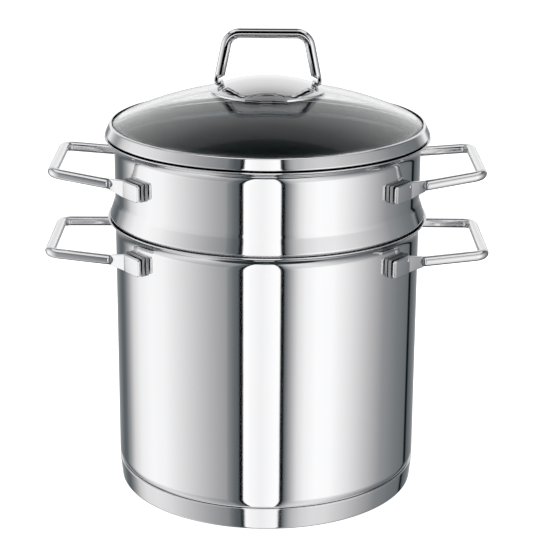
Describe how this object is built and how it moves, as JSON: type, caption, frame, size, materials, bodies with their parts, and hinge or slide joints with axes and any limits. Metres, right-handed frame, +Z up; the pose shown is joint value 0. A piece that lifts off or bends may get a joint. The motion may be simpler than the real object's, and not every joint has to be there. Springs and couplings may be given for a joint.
{
  "type": "multi-pot",
  "caption": "Tall polished steel pot with a perforated steamer insert hung in its rim, bent rod side handles and a domed glass lid with a rod grip.",
  "frame": {"origin": "centre of the base's underside, on the surface that the pot stands on", "axes": "+Z up along the pot's axis, +X towards the right handles and along the lid's grip, -Y towards the viewer"},
  "size_m": [0.3478, 0.2574, 0.3696],
  "materials": {
    "polished_steel": "mirror polished stainless steel",
    "base_steel": "polished stainless steel with a fine turned grain",
    "handle_steel": "polished stainless steel",
    "fastener_steel": "plain bright steel",
    "core_aluminium": "plain",
    "lid_glass": "clear tempered glass",
    "silicone": "matte"
  },
  "bodies": {
    "pot": {"pot_body": "polished_steel", "pot_base_core": "core_aluminium", "pot_base_cap": "base_steel", "pot_handle_left": "handle_steel", "pot_handle_left_bracket_front": "handle_steel", "pot_handle_left_bracket_rear": "handle_steel", "pot_handle_right": "handle_steel", "pot_handle_right_bracket_front": "handle_steel", "pot_handle_right_bracket_rear": "handle_steel"},
    "steamer": {"steamer_body": "polished_steel", "steamer_handle_left": "handle_steel", "steamer_handle_left_bracket_front": "handle_steel", "steamer_handle_left_bracket_rear": "handle_steel", "steamer_handle_right": "handle_steel", "steamer_handle_right_bracket_front": "handle_steel", "steamer_handle_right_bracket_rear": "handle_steel"},
    "lid": {"lid_glass": "lid_glass", "lid_rim": "polished_steel", "lid_rim_seal": "silicone", "lid_rosette": "polished_steel", "lid_grip": "handle_steel", "lid_gasket": "silicone", "lid_washer": "fastener_steel", "lid_screw": "fastener_steel"}
  },
  "joints": [
    {"name": "steamer_lift", "type": "slide", "parent": "pot", "child": "steamer", "axis": [0, 0, 1], "range_m": [0, 0.12]},
    {"name": "lid_lift", "type": "slide", "parent": "steamer", "child": "lid", "axis": [0, 0, 1], "range_m": [0, 0.1]}
  ]
}
